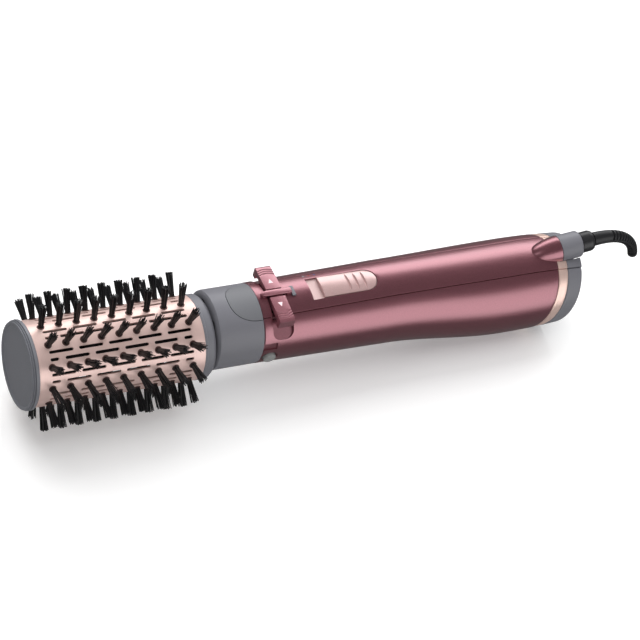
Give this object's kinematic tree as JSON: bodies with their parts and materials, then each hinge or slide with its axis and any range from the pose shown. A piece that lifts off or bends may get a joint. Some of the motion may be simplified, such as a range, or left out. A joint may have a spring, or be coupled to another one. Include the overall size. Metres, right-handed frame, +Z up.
{
  "type": "hot air brush",
  "caption": "Handheld hot air styling brush: bristled slotted barrel that turns on a detachable neck, a swelling grip with rocker and slider, and a swivelling cord boot.",
  "frame": {"origin": "on the table under the middle of the part's length", "axes": "+X from the brush's end cap to the cord boot, +Z up with the controls on top, +Y to the side away from the release button"},
  "size_m": [0.3433, 0.0652, 0.0687],
  "materials": {
    "barrel_metal": "satin anodised",
    "bristle": "fine filaments",
    "cap_grey": "satin",
    "mid_grey": "satin",
    "pad_grey": "fine grain",
    "plum_shell": "satin metallic lacquer",
    "knob_rose": "satin",
    "rose_gold": "metallised",
    "black_plastic": "moulded",
    "soft_black": "matt",
    "steel": "plain",
    "bronze": "sintered",
    "mica": "sheet",
    "board": "coated",
    "mark_paint": "printed"
  },
  "bodies": {
    "handle": {"main_shell": "plum_shell", "top_shell": "plum_shell", "socket_ring": "cap_grey", "rocker_pin": "steel", "rocker_tray": "black_plastic", "rocker_bridge": "plum_shell", "bridge_foot": "mid_grey", "switch_track": "knob_rose", "slide_switch": "black_plastic", "position_marks": "mark_paint", "trim_band": "rose_gold", "trim_band_top": "rose_gold", "rear_cover": "mid_grey", "rear_cover_top": "mid_grey", "inlet_grille": "cap_grey", "filter_mesh": "steel", "exit_fairing": "plum_shell", "cord_collar": "mid_grey", "gear_motor": "steel", "motor_bracket": "cap_grey", "heater_frame": "mica", "heater_coil": "steel", "thermostat": "steel", "fan_motor": "steel", "motor_cradle": "cap_grey", "control_board": "board", "shell_screws": "steel"},
    "rocker": {"rotation_rocker": "plum_shell"},
    "switch": {"switch_knob": "knob_rose", "knob_carrier": "black_plastic"},
    "button": {"release_button": "mid_grey", "button_spring": "steel"},
    "attachment": {"neck": "mid_grey", "thumb_pad": "pad_grey", "neck_spigot": "cap_grey", "neck_bush": "bronze"},
    "brush": {"end_cap": "cap_grey", "barrel": "barrel_metal", "bristle_strips": "bristle", "rear_collar": "mid_grey", "brush_hub": "mid_grey", "brush_shaft": "steel", "core_tube": "mid_grey"},
    "drive": {"drive_spindle": "steel"},
    "fan": {"fan_rotor": "black_plastic"},
    "cord": {"swivel_body": "black_plastic", "cord_boot": "soft_black"}
  },
  "joints": [
    {"name": "head_release", "type": "slide", "parent": "handle", "child": "attachment", "axis": [-0.999, 0, 0.0456], "range_m": [0, 0.03]},
    {"name": "brush_spin", "type": "hinge", "parent": "attachment", "child": "brush", "pos_m": [-0.08186, 0, 0.03228], "axis": [0.999, 0, -0.0456], "continuous": true},
    {"name": "drive_spin", "type": "hinge", "parent": "handle", "child": "drive", "pos_m": [-0.02892, 0, 0.02986], "axis": [0.999, 0, -0.0456], "continuous": true},
    {"name": "rocker_tip", "type": "hinge", "parent": "handle", "child": "rocker", "pos_m": [-0.04037, 0, 0.05201], "axis": [0.999, 0, -0.0456], "range_deg": [-4, 4], "stiffness_Nm_per_rad": 0.2},
    {"name": "switch_slide", "type": "slide", "parent": "handle", "child": "switch", "axis": [-0.999, 0, 0.0456], "range_m": [0, 0.006]},
    {"name": "release_press", "type": "slide", "parent": "handle", "child": "button", "axis": [0.0079, 0.9848, 0.1735], "range_m": [0, 0.001], "stiffness_N_per_m": 600, "springref_m": -0.0005},
    {"name": "fan_spin", "type": "hinge", "parent": "handle", "child": "fan", "pos_m": [0.08995, 0, 0.02434], "axis": [0.999, 0, -0.0456], "continuous": true},
    {"name": "cord_swivel", "type": "hinge", "parent": "handle", "child": "cord", "pos_m": [0.11959, 0, 0.04631], "axis": [0.9917, 0, 0.1286], "continuous": true}
  ],
  "couplings": [
    {"joint": "drive_spin", "follows": "brush_spin", "ratio": 1}
  ]
}
